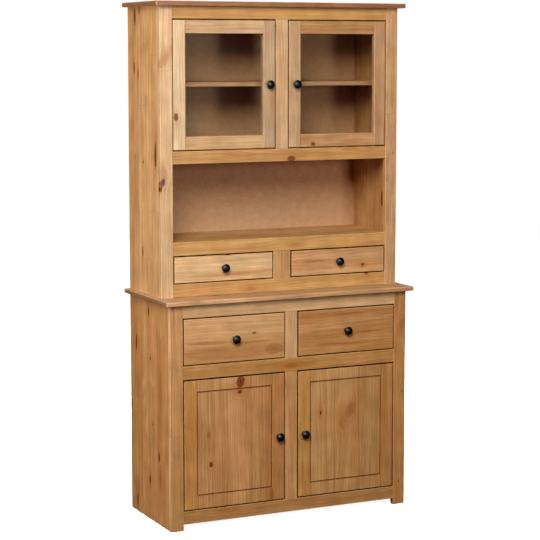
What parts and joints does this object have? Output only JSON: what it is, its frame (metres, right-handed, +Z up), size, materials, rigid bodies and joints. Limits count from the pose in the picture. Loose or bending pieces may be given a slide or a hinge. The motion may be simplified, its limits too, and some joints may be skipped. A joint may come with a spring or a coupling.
{
  "type": "welsh dresser",
  "caption": "Two-part pine dresser: a base with panel doors and drawers below a counter, and a hutch with glazed doors, an open niche and small drawers under a cornice.",
  "frame": {"origin": "floor level, at the middle of the whole outline in width and depth", "axes": "+X to the right seen from the front, +Y from the front to the back, +Z up"},
  "size_m": [0.954, 0.399, 1.8],
  "materials": {
    "frame_pine": "satin wax",
    "rail_pine": "satin wax",
    "front_pine": "satin wax",
    "field_pine": "satin wax",
    "side_pine": "satin wax",
    "top_pine": "satin wax",
    "inner_pine": "satin wax",
    "box_pine": "bare planed",
    "fibreboard": "bare matt",
    "pane": "clear float glass",
    "knob": "dark bronze, satin",
    "steel": "zinc plated",
    "catch": "moulded"
  },
  "bodies": {
    "carcass": {"base_side_left": "side_pine", "base_side_right": "side_pine", "base_floor": "inner_pine", "base_back": "fibreboard", "base_stile_left": "frame_pine", "base_stile_right": "frame_pine", "base_top_rail": "rail_pine", "base_mid_rail": "rail_pine", "base_bottom_rail": "rail_pine", "base_drawer_mullion": "frame_pine", "base_door_mullion": "frame_pine", "base_shelf": "inner_pine", "counter": "top_pine", "hutch_side_left": "side_pine", "hutch_side_right": "side_pine", "hutch_back": "fibreboard", "hutch_stile_left": "frame_pine", "hutch_stile_right": "frame_pine", "hutch_top_rail": "rail_pine", "cupboard_rail": "rail_pine", "niche_rail": "rail_pine", "hutch_bottom_rail": "rail_pine", "hutch_door_mullion": "frame_pine", "hutch_drawer_mullion": "frame_pine", "cupboard_floor": "inner_pine", "niche_floor": "inner_pine", "hutch_shelf": "inner_pine", "cornice": "top_pine", "drawer_runners": "inner_pine", "shelf_pins": "steel", "pivot_pins": "steel", "door_catches": "catch"},
    "glazed_door_left": {"glazed_left_stiles": "frame_pine", "glazed_left_rails": "frame_pine", "glazed_left_pane": "pane", "glazed_left_clips": "steel", "glazed_left_knob": "knob"},
    "panel_door_left": {"panel_left_stiles": "frame_pine", "panel_left_field": "field_pine", "panel_left_knob": "knob"},
    "base_drawer_left": {"base_drawer_left_front": "front_pine", "base_drawer_left_box": "box_pine", "base_drawer_left_knob": "knob"},
    "hutch_drawer_left": {"hutch_drawer_left_front": "front_pine", "hutch_drawer_left_box": "box_pine", "hutch_drawer_left_knob": "knob"},
    "glazed_door_right": {"glazed_right_stiles": "frame_pine", "glazed_right_rails": "frame_pine", "glazed_right_pane": "pane", "glazed_right_clips": "steel", "glazed_right_knob": "knob"},
    "panel_door_right": {"panel_right_stiles": "frame_pine", "panel_right_field": "field_pine", "panel_right_knob": "knob"},
    "base_drawer_right": {"base_drawer_right_front": "front_pine", "base_drawer_right_box": "box_pine", "base_drawer_right_knob": "knob"},
    "hutch_drawer_right": {"hutch_drawer_right_front": "front_pine", "hutch_drawer_right_box": "box_pine", "hutch_drawer_right_knob": "knob"}
  },
  "joints": [
    {"name": "glazed_door_left_hinge", "type": "hinge", "parent": "carcass", "child": "glazed_door_left", "pos_m": [-0.4, -0.0915, 1.518], "axis": [0, 0, -1], "range_deg": [0, 105]},
    {"name": "glazed_door_right_hinge", "type": "hinge", "parent": "carcass", "child": "glazed_door_right", "pos_m": [0.4, -0.0915, 1.518], "axis": [0, 0, 1], "range_deg": [0, 105]},
    {"name": "panel_door_left_hinge", "type": "hinge", "parent": "carcass", "child": "panel_door_left", "pos_m": [-0.398, -0.1675, 0.295], "axis": [0, 0, -1], "range_deg": [0, 105]},
    {"name": "panel_door_right_hinge", "type": "hinge", "parent": "carcass", "child": "panel_door_right", "pos_m": [0.398, -0.1675, 0.295], "axis": [0, 0, 1], "range_deg": [0, 105]},
    {"name": "hutch_drawer_left_slide", "type": "slide", "parent": "carcass", "child": "hutch_drawer_left", "axis": [0, -1, 0], "range_m": [0, 0.18]},
    {"name": "hutch_drawer_right_slide", "type": "slide", "parent": "carcass", "child": "hutch_drawer_right", "axis": [0, -1, 0], "range_m": [0, 0.18]},
    {"name": "base_drawer_left_slide", "type": "slide", "parent": "carcass", "child": "base_drawer_left", "axis": [0, -1, 0], "range_m": [0, 0.25]},
    {"name": "base_drawer_right_slide", "type": "slide", "parent": "carcass", "child": "base_drawer_right", "axis": [0, -1, 0], "range_m": [0, 0.25]}
  ]
}
